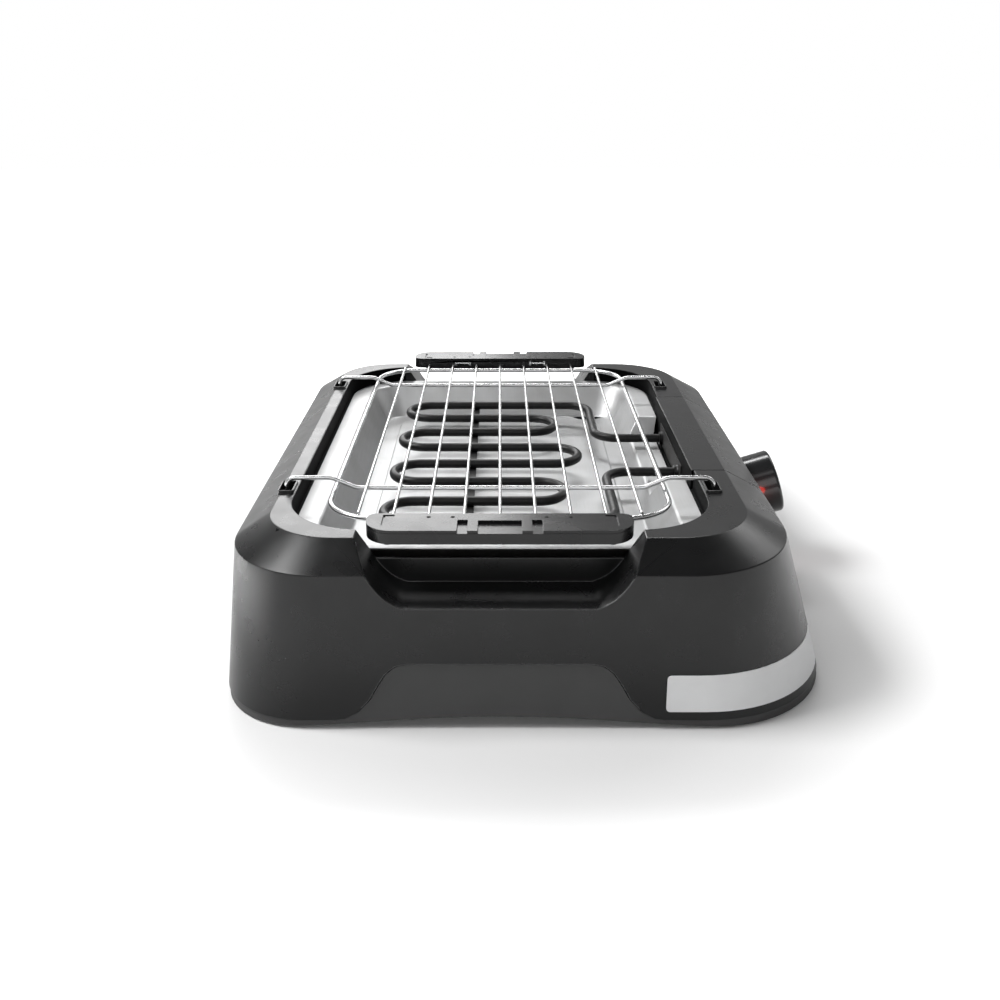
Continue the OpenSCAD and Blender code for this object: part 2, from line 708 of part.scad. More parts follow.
module thermostat_shaft() {
    color("#c8c4b4") place() on_wall(0, knob_z) union() {
        translate([0, 0, -body_back + 6 + gap]) cylinder(d = shaft_d, h = body_back - 6 - gap + 10, $fn = fine);
        translate([0, 0, 10]) shaft_profile(knob_h - 17, shaft_d, shaft_flat);
    }
}
module shaft_nut() {
    color("#a9abad") place() on_wall(0, knob_z) difference() {
        cylinder(d = 15, h = 3, $fn = 6);
        translate([0, 0, -cut]) cylinder(d = neck_d + 0.1, h = 6, $fn = fine);
    }
}
module knob() {
    r = knob_d / 2;
    e = knob_edge;
    color("#2c2d2f") place() on_wall(0, knob_z) translate([0, 0, knob_gap]) difference() {
        rotate_extrude($fn = 96) difference() {
            union() {
                polygon([[0, 5], [r - 3, 5], [r - 3, 0], [r, 0], [r, knob_h - e], [r - e, knob_h - e],
                         [r - e, knob_h], [0, knob_h]]);
                translate([r - e, knob_h - e]) circle(e, $fn = fine);
            }
            translate([r, -cut]) square([cut, knob_h + 2 * cut]);
            translate([hub_d / 2, 5 - cut]) square([r - 3 - hub_d / 2, knob_h - 9]);
            translate([-cut, 5 - cut]) square([cut + neck_d / 2 + 1.5, 5]);
            translate([0, knob_h - 0.6]) square([r - 2 * e - 2, cut]);
        }
        translate([0, 0, 5]) shaft_profile(knob_h - 12 + 0.4, shaft_d + 0.1, shaft_flat + 0.05);
        translate([-pointer_w / 2 - r + 8, -pointer_w / 2, knob_h - 1.6]) cube([pointer_l, pointer_w, 3]);
    }
}
module knob_insert() {
    color("#e4e4e0") place() on_wall(0, knob_z)
        translate([-pointer_w / 2 - knob_d / 2 + 8 + 0.05, -pointer_w / 2 + 0.05, knob_gap + knob_h - 1.6])
            cube([pointer_l - 0.1, pointer_w - 0.1, 1.2]);
}
module terminal_block() {
    color("#d9d4c6") place() translate([box_x + 22, unit_y + 58, floor_top_z]) difference() {
        cube([18, 34, 15]);
        for (i = [0:2]) translate([-cut, 6 + 11 * i, 6]) rotate([0, 90, 0]) cylinder(d = 4, h = 20 + 2 * cut, $fn = fine);
        for (i = [0:1]) translate([-cut, 10.5 + 11 * i, 9]) cube([20, 2, 8]);
    }
}
module pilot_lamp() {
    color("#e07a4a") place() on_wall(lens_y, knob_z) translate([0, 0, -20]) rotate_extrude($fn = fine)
        polygon([[0, 0], [2.4, 0], [3, 0.6], [3, 12], [2, 14.5], [0, 15.5]]);
}
module pilot_lens() {
    color("#b3201c") place() on_wall(lens_y, knob_z) rotate_extrude($fn = fine) difference() {
        union() {
            translate([0, -4]) square([lens_d / 2, 4]);
            square([lens_d / 2 + 1, 0.8]);
            polygon([[0, 0.8], [lens_d / 2, 0.8], [lens_d / 2 - 0.8, 2.2], [lens_d / 4, 3], [0, 3.2]]);
        }
        translate([-cut, -5]) square([cut + lens_d / 2 - 1, 5.4]);
        translate([-2 * lens_d, -10]) square([2 * lens_d, 20]);
    }
}
module interlock_switch() {
    color("#3d3f44") place() translate([switch_x, unit_y, 0]) {
        translate([-6, -10, floor_top_z]) cube([12, 20, 14]);
        translate([0, 0, box_z + 0.3]) cylinder(d = 4, h = floor_top_z - box_z, $fn = fine);
    }
}
module cord_gland() {
    color("#202020") place() on_wall(gland_y, gland_z) rotate_extrude($fn = fine)
        polygon([[gland_d / 2, -6], [gland_d / 2 + 4, -6], [gland_d / 2 + 4, -3.2], [gland_d / 2 + 1.95, -3.2],
                 [gland_d / 2 + 1.95, 0.1], [gland_d / 2 + 4, 0.1], [gland_d / 2 + 3.4, 3], [gland_d / 2, 3.6]]);
}

// Wires
module rod(p, q, d) {
    v = q - p;
    l = norm(v);
    translate(p) rotate([0, acos(v[2] / l), atan2(v[1], v[0])]) cylinder(d = d, h = l, $fn = 24);
}
module rack_frame() {
    x = rack_half_w - frame_bend;
    y = rack_half_l - frame_bend;
    color("#cfd1d3") place() translate([0, 0, frame_z]) union() {
        for (s = [-1, 1]) {
            translate([s * rack_half_w, y, 0]) rotate([90, 0, 0]) cylinder(d = frame_d, h = 2 * y, $fn = 24);
            translate([-x, s * rack_half_l, 0]) rotate([0, 90, 0]) cylinder(d = frame_d, h = 2 * x, $fn = 24);
        }
        for (i = [0:3]) mirror([i % 2, 0, 0]) mirror([0, i > 1 ? 1 : 0, 0]) translate([x, y, 0])
            rotate_extrude(angle = 90, $fn = 96) translate([frame_bend, 0]) circle(d = frame_d, $fn = 24);
    }
}
module rack_grid() {
    n = (grid_count - 1) / 2;
    color("#d6d8da") place() for (i = [-n:n]) {
        l = abs(i) * grid_pitch < handle_len / 2 - 8 ? handle_y + wire_into_handle : rack_half_l - 2;
        translate([i * grid_pitch, l, grid_z]) rotate([90, 0, 0]) cylinder(d = grid_d, h = 2 * l, $fn = 24);
    }
}
module cross_wire() {
    union() {
        translate([-cross_rise_x, 0, cross_low_z]) rotate([0, 90, 0])
            cylinder(d = cross_d, h = 2 * cross_rise_x, $fn = 24);
        for (m = [0, 1]) mirror([m, 0, 0]) {
            rod([cross_rise_x, 0, cross_low_z], [cross_top_x, 0, wing_z], cross_d);
            // the bends are a hair thicker than the wire
            for (p = [[cross_rise_x, 0, cross_low_z], [cross_top_x, 0, wing_z]])
                translate(p) sphere(d = cross_d + 0.1, $fn = 24);
            translate([cross_top_x, 0, wing_z]) rotate([0, 90, 0])
                cylinder(d = cross_d, h = wing_foot_x - foot_bend - cross_top_x, $fn = 24);
            translate([wing_foot_x - foot_bend, 0, wing_z - foot_bend]) rotate([90, 0, 0])
                rotate_extrude(angle = 90, $fn = 96) translate([foot_bend, 0]) circle(d = cross_d, $fn = 24);
            translate([wing_foot_x, 0, foot_z]) cylinder(d = cross_d, h = wing_z - foot_bend - foot_z, $fn = 24);
        }
    }
}
module rack_cross_wires() { color("#cfd1d3") place() for (s = [-1, 1]) translate([0, s * cross_y, 0]) cross_wire(); }

// Handle seen from above: Y runs outwards from its inner edge
module handle_plan() {
    translate([-handle_len / 2, 0]) union() {
        for (x = [handle_in_r, handle_len - handle_in_r]) translate([x, handle_in_r]) circle(handle_in_r, $fn = fine);
        intersection() {
            for (x = [handle_out_r, handle_len - handle_out_r])
                translate([x, handle_w - handle_out_r]) circle(handle_out_r, $fn = fine);
            translate([0, handle_w - handle_out_r]) square([handle_len, handle_out_r]);
        }
        translate([handle_in_r, 0]) square([handle_len - 2 * handle_in_r, handle_in_r]);
        translate([0, handle_in_r]) square([handle_len, handle_w - handle_out_r - handle_in_r]);
        translate([handle_out_r, handle_w - handle_out_r]) square([handle_len - 2 * handle_out_r, handle_out_r]);
    }
}
module at_handle_screws() { for (s = [-1, 1]) translate([s * handle_screw_x, handle_w / 2, 0]) children(); }
module handle_base() {
    n = (grid_count - 1) / 2;
    split = handle_split_z;
    difference() {
        union() {
            slab(handle_low_z, split - handle_low_z) handle_plan();
            translate([-rim_hx, 0, handle_low_z - rim_drop]) cube([2 * rim_hx, 2.2, rim_drop + 1.4]);
            for (s = [-1, 1]) translate([s * foot_bump_x, handle_w - 7, handle_low_z - foot_bump_h])
                cylinder(d1 = 7, d2 = 10, h = foot_bump_h + eps, $fn = fine);
        }
        for (i = [-n:n]) if (abs(i) * grid_pitch < handle_len / 2 - 8)
            translate([i * grid_pitch, wire_into_handle + 0.2, grid_z]) rotate([90, 0, 0])
                cylinder(d = grid_d + 0.1, h = wire_into_handle + cut, $fn = 24);
        for (s = [-1, 1]) translate([s * clip_x - clip_w / 2, -cut, clip_z]) cube([clip_w, 5 + cut, clip_h]);
        at_handle_screws() {
            cylinder(d = 3, h = handle_top_z, $fn = fine);
            cylinder(d = 5.6, h = handle_low_z + screw_seat, $fn = fine);
            translate([0, 0, split - boss_h - 0.2]) cylinder(d = 6.2, h = boss_h + cut, $fn = fine);
        }
    }
}
module handle_cover() {
    split = handle_split_z;
    difference() {
        union() {
            slab(split, handle_cover) handle_plan();
            at_handle_screws() translate([0, 0, split - boss_h]) cylinder(d = 6, h = boss_h + eps, $fn = fine);
        }
        // window and clip slots, open to the outer edge
        translate([-window_w / 2, window_y, split - cut]) cube([window_w, handle_w, handle_cover + 2 * cut]);
        for (s = [-1, 1]) {
            translate([s * slot_x - slot_w / 2, slot_y, split - cut]) cube([slot_w, handle_w, handle_cover + 2 * cut]);
            // L-shaped groove near each end
            translate([s * groove_x - groove_w / 2, 3, handle_top_z - 1]) cube([groove_w, 18.5, 2]);
            translate([s * (groove_x - groove_l / 2) - groove_l / 2, 3, handle_top_z - 1]) cube([groove_l, 2.6, 2]);
            for (i = [0, 1]) translate([s * dimple_x[i], dimple_d * 2.5, handle_top_z - 0.8])
                cylinder(d = dimple_d, h = 3, $fn = fine);
        }
        at_handle_screws() translate([0, 0, split - boss_h - cut]) cylinder(d = 2.2, h = boss_h + cut, $fn = fine);
    }
}
module front() { place() rotate(180) translate([0, handle_y, 0]) children(); }
module rear() { place() translate([0, handle_y, 0]) children(); }
module front_handle_base() { color("#2a2b2c") front() handle_base(); }
module rear_handle_base() { color("#2a2b2c") rear() handle_base(); }
module front_handle_cover() { color("#343537") front() handle_cover(); }
module rear_handle_cover() { color("#343537") rear() handle_cover(); }
module clip() {
    w = clip_w - 0.4;
    h = clip_h - 0.4;
    translate([-w / 2, 0.4, clip_z + 0.2]) union() {
        translate([0, 0, (h - clip_bar) / 2]) cube([w, 3.4, clip_bar]);
        for (x = [0, w - 2]) translate([x, 0, 0]) cube([2, 4, h]);
    }
}
module handle_clips() {
    color("#cdcfd0") {
        front() for (s = [-1, 1]) translate([s * clip_x, 0, 0]) clip();
        rear() for (s = [-1, 1]) translate([s * clip_x, 0, 0]) clip();
    }
}
module handle_screws() {
    color("#9b9da0") {
        l = handle_split_z - handle_low_z - screw_seat - 0.3;
        front() at_handle_screws() translate([0, 0, handle_low_z + screw_seat]) screw(2.1, 5, 1.6, l);
        rear() at_handle_screws() translate([0, 0, handle_low_z + screw_seat]) screw(2.1, 5, 1.6, l);
    }
}

housing_shell();
base_pan();
rubber_feet();
case_screws();
pale_strip();
reflector_tray();
heating_element();
element_strap();
element_bushings();
terminal_pins();
heat_shield();
control_cover();
control_floor();
control_screws();
thermostat_body();
thermostat_shaft();
shaft_nut();
knob();
knob_insert();
terminal_block();
pilot_lamp();
pilot_lens();
interlock_switch();
cord_gland();
rack_frame();
rack_grid();
rack_cross_wires();
front_handle_base();
front_handle_cover();
rear_handle_base();
rear_handle_cover();
handle_clips();
handle_screws();
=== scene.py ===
# %% [markdown]
# # A table-top electric grill, dressed over its CAD frame
# The grill is a low moulded housing with a bright reflector tray in it, a black heater tube
# that comes out of a control box on the right, and a wire rack with two plastic handles.
# The CAD model is loaded first and stays where it is. Everything made here is in metres and
# in the CAD's own frame, so each new piece goes straight to its real place.

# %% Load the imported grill
import bpy, bmesh, json, math
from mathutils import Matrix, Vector


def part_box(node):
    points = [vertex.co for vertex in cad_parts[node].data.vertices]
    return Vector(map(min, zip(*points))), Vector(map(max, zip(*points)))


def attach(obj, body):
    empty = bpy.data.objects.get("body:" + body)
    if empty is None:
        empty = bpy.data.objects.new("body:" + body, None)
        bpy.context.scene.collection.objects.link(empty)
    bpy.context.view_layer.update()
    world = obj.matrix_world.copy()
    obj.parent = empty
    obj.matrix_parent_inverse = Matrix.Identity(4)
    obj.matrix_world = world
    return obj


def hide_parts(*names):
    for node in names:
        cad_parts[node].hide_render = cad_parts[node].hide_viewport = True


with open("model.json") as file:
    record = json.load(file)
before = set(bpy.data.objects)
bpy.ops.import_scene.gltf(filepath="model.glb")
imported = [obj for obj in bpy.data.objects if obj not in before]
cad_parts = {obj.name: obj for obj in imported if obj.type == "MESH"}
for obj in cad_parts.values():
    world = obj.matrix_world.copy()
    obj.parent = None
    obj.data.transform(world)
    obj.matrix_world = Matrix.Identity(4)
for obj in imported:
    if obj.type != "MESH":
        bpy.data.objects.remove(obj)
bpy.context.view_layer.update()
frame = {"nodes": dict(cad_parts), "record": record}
node = frame["nodes"]
record = frame["record"]
body_of = {n: body for body, names in record["behaviour"]["bodies"].items() for n in names}
slot_of = {part["node"]: part["material_slot"] for part in record["subparts"]}

# %% [markdown]
# The drawings give the grill in millimetres, measured from the middle of the rack, while the
# frame is in metres and centred on the whole footprint. Two tiny helpers do that sum once, so
# every later cell can use the numbers a drawing would have.

# %% Millimetres from the rack's middle
rack_low, rack_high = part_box("rack_frame")
rack_mid = (rack_low.x + rack_high.x) / 2


def mm(value):
    return value / 1000


def at(x, y, z):
    return Vector((rack_mid + mm(x), mm(y), mm(z)))


print("the rack's middle is at X", round(rack_mid, 5))

# %% [markdown]
# ## Camera
# The grill is seen from the front, a little above the table. The lens is a little longer than
# normal, as a product photographer would use, so that the rear handle isn't tiny.
# The camera stands on the rack's middle line, so the wires run to a point straight above it.

# %% Camera in front of the grill
FOCAL_LENGTH, SENSOR_WIDTH = 37.8, 36           # mm
CAMERA_BACK, CAMERA_UP = 0.8959, 0.4238         # metres in front of the middle and above the table
CAMERA_TILT = 68.058                            # degrees up from looking straight down
camera_data = bpy.data.cameras.new("front_camera")
camera_data.lens = FOCAL_LENGTH
camera_data.sensor_width = SENSOR_WIDTH
camera_data.clip_start = 0.05
camera = bpy.data.objects.new("front_camera", camera_data)
camera.location = (rack_mid, -CAMERA_BACK, CAMERA_UP)
camera.rotation_euler = (math.radians(CAMERA_TILT), 0, 0)
bpy.context.scene.collection.objects.link(camera)
bpy.context.scene.camera = camera
print("camera at", tuple(round(v, 3) for v in camera.location))

# %% [markdown]
# ## Selecting, as by hand
# Blender's mesh operators act on whatever is selected, and the loaded CAD arrives selected.
# So everything is first let go, and a piece is then picked up again by name. In edit mode its
# vertices are picked by where they are, which is what a box-select does by hand.

# %% Letting go and picking up
def deselect_all():
    if bpy.context.object and bpy.context.object.mode != "OBJECT":
        bpy.ops.object.mode_set(mode="OBJECT")
    bpy.ops.object.select_all(action="DESELECT")


def pick_up(piece):
    deselect_all()
    piece.select_set(True)
    bpy.context.view_layer.objects.active = piece


def edit_verts(piece, test):
    """goes into edit mode with just the vertices that pass the test selected"""
    if piece.mode != "EDIT":
        pick_up(piece)
        bpy.ops.object.mode_set(mode="EDIT")
    bpy.ops.mesh.select_mode(type="VERT")
    bpy.ops.mesh.select_all(action="DESELECT")
    mesh = bmesh.from_edit_mesh(piece.data)
    for v in mesh.verts:
        v.select_set(test(v.co))
    mesh.select_flush_mode()
    bmesh.update_edit_mesh(piece.data)
    return sum(v.select for v in mesh.verts)


def leave_edit():
    bpy.ops.object.mode_set(mode="OBJECT")


def join_all(pieces, name):
    """joins the pieces into the first one and names it"""
    deselect_all()
    for piece in pieces:
        piece.select_set(True)
    bpy.context.view_layer.objects.active = pieces[0]
    bpy.ops.object.join()
    pieces[0].name = name
    return pieces[0]


# %% [markdown]
# ## Floor and room
# A product shot stands on white paper in a white room. The room shines at full white only for
# the camera, and the paper for the camera and for mirror-like surfaces, with the Light Path
# node. So the background is white while the lamps stay at a level that shows the grill's real
# colours. Close to the grill the paper doesn't shine, which keeps the grill's shadow on it.

# %% White sweep under the grill
deselect_all()
bpy.ops.mesh.primitive_plane_add(size=9, location=(0, 0, 0))
sweep = bpy.context.object
sweep.name = "white_sweep"
bpy.ops.object.mode_set(mode="EDIT")
bpy.ops.mesh.subdivide(number_cuts=3)
leave_edit()
print("sweep", [round(v, 2) for v in sweep.dimensions])

# %% Node helpers for the paper, the room and the finishes
def calc(tree, kind, *values):
    """a Math node, or a chain of them, on numbers and outputs of other nodes"""
    total = values[0]
    for value in values[1:] or (0.0,):
        step = tree.nodes.new("ShaderNodeMath")
        step.operation = kind
        for socket, source in ((step.inputs[0], total), (step.inputs[1], value)):
            if isinstance(source, (int, float)):
                socket.default_value = source
            else:
                tree.links.new(source, socket)
        total = step.outputs[0]
    return total


def map_range(tree, value, from_low, from_high, to_low, to_high, shape="LINEAR"):
    """takes value from one range to another; each limit of the new one may be an output"""
    scale = tree.nodes.new("ShaderNodeMapRange")
    scale.interpolation_type = shape
    limits = {"From Min": from_low, "From Max": from_high, "To Min": to_low, "To Max": to_high}
    for key, limit in limits.items():
        if isinstance(limit, (int, float)):
            scale.inputs[key].default_value = limit
        else:
            tree.links.new(limit, scale.inputs[key])
    tree.links.new(value, scale.inputs["Value"])
    return scale.outputs["Result"]


print("node helpers ready")

# %% Paper of the sweep
PAPER_GREY = 0.7                    # its colour, as a matt surface
PAPER_LIFT = 0.02                   # how much it shines next to the grill
SHINE_FROM, SHINE_FULL = 0.29, 0.64   # metres from the middle where the shine grows
paper = bpy.data.materials.new("sweep_paper")
paper.use_nodes = True
tree = paper.node_tree
tree.nodes.clear()
matt = tree.nodes.new("ShaderNodeBsdfDiffuse")
matt.inputs["Color"].default_value = (PAPER_GREY, PAPER_GREY, PAPER_GREY, 1)
place = tree.nodes.new("ShaderNodeTexCoord")
reach = tree.nodes.new("ShaderNodeVectorMath")
reach.operation = "LENGTH"
tree.links.new(place.outputs["Object"], reach.inputs[0])
fade = map_range(tree, reach.outputs["Value"], SHINE_FROM, SHINE_FULL, PAPER_LIFT, 1, "SMOOTHSTEP")
rays = tree.nodes.new("ShaderNodeLightPath").outputs
seen = calc(tree, "MAXIMUM", rays["Is Camera Ray"], rays["Is Transmission Ray"],
            rays["Is Glossy Ray"])
shine = tree.nodes.new("ShaderNodeEmission")
tree.links.new(calc(tree, "MULTIPLY", seen, fade), shine.inputs["Strength"])
both = tree.nodes.new("ShaderNodeAddShader")
tree.links.new(matt.outputs[0], both.inputs[0])
tree.links.new(shine.outputs[0], both.inputs[1])
paper_out = tree.nodes.new("ShaderNodeOutputMaterial")
tree.links.new(both.outputs[0], paper_out.inputs["Surface"])
sweep.data.materials.append(paper)
print("paper made")

# %% Room: white to look at, dim as a light, and uneven in its mirror image
ROOM_WHITE, ROOM_FILL = 1.0, 0.06
# greys that mirrors see, from straight down (0) over the horizon (0.5) to straight up (1)
room_in_mirrors = ((0.0, 0.12), (0.5, 0.12), (0.59, 0.5), (0.7, 0.5), (0.84, 0.1))
world = bpy.data.worlds.new("studio_room")
bpy.context.scene.world = world
world.use_nodes = True
tree = world.node_tree
tree.nodes.clear()
room = tree.nodes.new("ShaderNodeBackground")
room.inputs["Color"].default_value = (1, 1, 1, 1)
look = tree.nodes.new("ShaderNodeTexCoord")
upward = tree.nodes.new("ShaderNodeSeparateXYZ")
tree.links.new(look.outputs["Generated"], upward.inputs[0])
walls = tree.nodes.new("ShaderNodeValToRGB")
walls.color_ramp.interpolation = "EASE"
for i, (stop, grey) in enumerate(room_in_mirrors):
    mark = walls.color_ramp.elements[i] if i < 2 else walls.color_ramp.elements.new(stop)
    mark.position = stop
    mark.color = (grey, grey, grey, 1)
tree.links.new(map_range(tree, upward.outputs["Z"], -1, 1, 0, 1), walls.inputs["Fac"])
rays = tree.nodes.new("ShaderNodeLightPath").outputs
seen = calc(tree, "MAXIMUM", rays["Is Camera Ray"], rays["Is Transmission Ray"])
mirrored = map_range(tree, rays["Is Glossy Ray"], 0, 1, ROOM_FILL, walls.outputs["Color"])
tree.links.new(map_range(tree, seen, 0, 1, mirrored, ROOM_WHITE), room.inputs["Strength"])
room_out = tree.nodes.new("ShaderNodeOutputWorld")
tree.links.new(room.outputs[0], room_out.inputs["Surface"])
print("room made")

# %% [markdown]
# ## Lamps
# Dark plastic shows its shape almost only through reflections. A long soft box low behind on
# the left draws the bright sheen on the left rim and the handles. A large one from the left,
# well above the table, is the main light and puts the shadow on the right. The others are
# weaker: they fill the top, the front and the right corner, and one lights the paper at the
# left that the skirt's corner mirrors.

# %% Soft boxes
def soft_box(name, turn, height, distance, size, power, aim=(0, 0, 0.1)):
    """turn is in degrees from straight behind, right positive; height is the angle above"""
    data = bpy.data.lights.new(name, "AREA")
    data.shape = "RECTANGLE"
    data.size, data.size_y = size
    data.energy = power
    lamp = bpy.data.objects.new(name, data)
    a, h = math.radians(turn), math.radians(height)
    out = Vector((math.sin(a) * math.cos(h), math.cos(a) * math.cos(h), math.sin(h)))
    lamp.location = Vector(aim) + out * distance
    lamp.rotation_euler = (-out).to_track_quat("-Z", "Y").to_euler()
    lamp.visible_camera = False
    bpy.context.scene.collection.objects.link(lamp)
    print(name, [round(v, 2) for v in lamp.location])


# name, turn and height in degrees, distance, width and height in metres, power in watts
soft_box("back_left_box", -21, 24, 2.0, (1.4, 0.7), 18)
soft_box("top_left_box", -115, 52, 1.8, (1.0, 0.9), 7)
soft_box("top_back_box", 0, 54, 1.8, (1.1, 0.3), 16)
soft_box("front_top_box", 180, 54, 2.0, (1.6, 0.3), 2)
soft_box("right_box", 55, 36, 1.8, (0.7, 0.7), 6)
soft_box("shadow_box", -97, 51, 2.2, (0.8, 0.6), 46)
soft_box("front_fill", 184, 22, 2.4, (1.8, 1.0), 8)
soft_box("left_paper_box", 0, 90, 0.8, (0.25, 0.4), 2, (-0.6, -0.2, 0))
bpy.data.lights["left_paper_box"].spread = math.radians(15)

bpy.context.scene.view_settings.view_transform = "Standard"

# %% Glow of the pilot lamp
# the lamp behind its lens also lights the knob beside it
lens_low, lens_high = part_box("pilot_lens")
beside = (lens_high[0] + mm(3), lens_high[1] + mm(1), lens_high[2] + mm(3))
soft_box("pilot_glow", 180, 0, mm(6), (mm(14), mm(14)), 0.006, beside)
bpy.data.lights["pilot_glow"].shape = "DISK"
bpy.data.lights["pilot_glow"].color = (1, 0.05, 0.03)

# %% [markdown]
# ## Finishes: the common tools
# A real surface is never one flat colour. Moulded plastic has a fine grain and is a little
# shinier where hands rub it; sheet steel has drawing marks; a heater tube is blotched by heat.
# Noise in Object coordinates gives all of these at a true size in millimetres, and it stays
# put on a piece that has no UV map. Each helper below adds one such layer to a material.

# %% A new finish and its layers
finishes = {}


def inputs_of(finish):
    return finish.node_tree.nodes["Principled BSDF"].inputs


def new_finish(name, colour, metallic, roughness, specular=0.5):
    finish = finishes[name] = bpy.data.materials.new(name + "_finish")
    finish.use_nodes = True
    inputs_of(finish)["Base Color"].default_value = (*colour, 1)
    inputs_of(finish)["Metallic"].default_value = metallic
    inputs_of(finish)["Roughness"].default_value = roughness
    inputs_of(finish)["Specular IOR Level"].default_value = specular
    return finish


def use(finish, socket, source):
    """a layer drives one input of the finish"""
    finish.node_tree.links.new(source, inputs_of(finish)[socket])


def noise(finish, size, detail=3, stretch=(1, 1, 1), distortion=0):
    """blobs about size mm across; stretch makes them that much longer along X, Y, Z"""
    nodes, links = finish.node_tree.nodes, finish.node_tree.links
    place = nodes.new("ShaderNodeTexCoord")
    pull = nodes.new("ShaderNodeMapping")
    pull.inputs["Scale"].default_value = [1 / v for v in stretch]
    pattern = nodes.new("ShaderNodeTexNoise")
    pattern.inputs["Scale"].default_value = 1000 / size
    pattern.inputs["Detail"].default_value = detail
    pattern.inputs["Distortion"].default_value = distortion
    links.new(place.outputs["Object"], pull.inputs["Vector"])
    links.new(pull.outputs["Vector"], pattern.inputs["Vector"])
    return pattern.outputs["Fac"]


def numbers(finish, source, low, high, start=0.3, end=0.7):
    """stretches a pattern's start..end to low..high"""
    return map_range(finish.node_tree, source, start, end, low, high)


def blend_colours(finish, factor, first, second):
    """mixes two colours, each a tuple or the output of another layer"""
    mix = finish.node_tree.nodes.new("ShaderNodeMix")
    mix.data_type = "RGBA"
    finish.node_tree.links.new(factor, mix.inputs[0])
    for socket, colour in ((mix.inputs[6], first), (mix.inputs[7], second)):
        if isinstance(colour, tuple):
            socket.default_value = (*colour, 1)
        else:
            finish.node_tree.links.new(colour, socket)
    return mix.outputs[2]


def bumps(finish, layers):
    """layers of (pattern, height in mm), one bump on top of the other"""
    nodes, links = finish.node_tree.nodes, finish.node_tree.links
    under = None
    for source, height in layers:
        bump = nodes.new("ShaderNodeBump")
        bump.inputs["Distance"].default_value = mm(height)
        links.new(source, bump.inputs["Height"])
        if under:
            links.new(under, bump.inputs["Normal"])
        under = bump.outputs["Normal"]
    use(finish, "Normal", under)


def edges(finish, radius, amount=1):
    """amount on sharp edges, where the grain wears first and where painted highlights go, and 0
    from radius mm away
    """
    nodes, links = finish.node_tree.nodes, finish.node_tree.links
    rounded = nodes.new("ShaderNodeBevel")
    rounded.samples = 4
    rounded.inputs["Radius"].default_value = mm(radius)
    true = nodes.new("ShaderNodeNewGeometry")
    same = nodes.new("ShaderNodeVectorMath")
    same.operation = "DOT_PRODUCT"
    links.new(rounded.outputs["Normal"], same.inputs[0])
    links.new(true.outputs["Normal"], same.inputs[1])
    return numbers(finish, same.outputs["Value"], amount, 0, 0.88, 0.995)


def within(finish, half_x, half_y, top):
    """1 within half_x and half_y mm of the rack's middle and below top mm, 0 elsewhere"""
    tree = finish.node_tree
    split = tree.nodes.new("ShaderNodeSeparateXYZ")
    tree.links.new(tree.nodes.new("ShaderNodeTexCoord").outputs["Object"], split.inputs[0])
    across = calc(tree, "ABSOLUTE", calc(tree, "SUBTRACT", split.outputs[0], rack_mid))
    along = calc(tree, "ABSOLUTE", split.outputs[1])
    limits = ((across, half_x), (along, half_y), (split.outputs[2], top))
    inside = [calc(tree, "LESS_THAN", value, mm(limit)) for value, limit in limits]
    return calc(tree, "MULTIPLY", *inside)


def cloudy(finish, size, detail, first, second):
    """the finish's colour drifts from the first to the second in clouds of that size"""
    clouds = numbers(finish, noise(finish, size, detail), 0, 1)
    use(finish, "Base Color", blend_colours(finish, clouds, first, second))


# %% [markdown]
# The housing, the control box's cover and the handles are black heat-proof plastic with a fine
# moulded grain. Base Color is nearly black, so the look comes from the roughness: a little
# under 0.3 here and smoother on the knob. The edges are rubbed slightly paler. Around the finger
# recesses the edges carry a painted highlight, and the walls round the tray are rougher and
# darkened with painted shade.

# %% Black moulded plastics
# half width, half length and top, in mm, of the parts of the housing that get painted light
HIGHLIGHT_RIMS = (97, 300, 112)        # painted highlight on the edges low in the recesses
SHADED_WALLS = (157.5, 221, 129.2)   # painted shade round the tray, under the flat ring


def moulded_plastic(name, colour, roughness, grain=0.45, height=0.003, edge=(0.02, 0.02, 0.021),
                    cloud=0.2, specular=0.32):
    finish = new_finish(name, colour, 0, roughness, specular)
    dark, light = (tuple(share * c for c in colour) for share in (1 - cloud, 1 + cloud))
    body = blend_colours(finish, numbers(finish, noise(finish, 38, 4), 0, 1), dark, light)
    patchy = numbers(finish, noise(finish, 5, 3), 0, 1, 0.45, 0.7)
    worn = calc(finish.node_tree, "MULTIPLY", edges(finish, 0.6, 0.55), patchy)
    body = blend_colours(finish, worn, body, edge)
    shine = numbers(finish, noise(finish, 22, 5), roughness - 0.035, roughness + 0.035)
    if name == "housing_plastic":
        # painted highlight: the edges low in the finger recesses are painted pale grey, standing in
        # for bright lines of reflected light
        highlight_rims = numbers(finish, within(finish, *HIGHLIGHT_RIMS), 0, 0.8, 0, 1)
        painted_highlight = calc(finish.node_tree, "MULTIPLY", edges(finish, 1.3), highlight_rims)
        body = blend_colours(finish, painted_highlight, body, (0.2, 0.2, 0.202))
        # painted shade: the walls round the tray become near-black metal, which darkens them as if
        # they lay in shade, and they are made rougher
        painted_shade = within(finish, *SHADED_WALLS)
        dull = numbers(finish, painted_shade, 0, 0.8, 0, 1)
        shine = calc(finish.node_tree, "MAXIMUM", shine, dull)
        use(finish, "Metallic", painted_shade)
    use(finish, "Base Color", body)
    use(finish, "Roughness", shine)
    bumps(finish, [(noise(finish, grain, 2), height)])


moulded_plastic("housing_plastic", (0.0042, 0.0043, 0.0045), 0.29)
moulded_plastic("handle_plastic", (0.0042, 0.0043, 0.0045), 0.26)
moulded_plastic("knob_plastic", (0.01, 0.0103, 0.011), 0.19, grain=0.4, height=0.002, specular=0.5)
moulded_plastic("base_plastic", (0.055, 0.055, 0.055), 0.5, grain=0.6, height=0.006,
                edge=(0.09, 0.09, 0.09), cloud=0.05)
print("black plastics made")

# %% [markdown]
# The bare strip on the right front corner is a pale satin foil pressed onto the housing. The
# terminal block and the knob's pointer are white moulded plastic, slightly yellowed by heat.

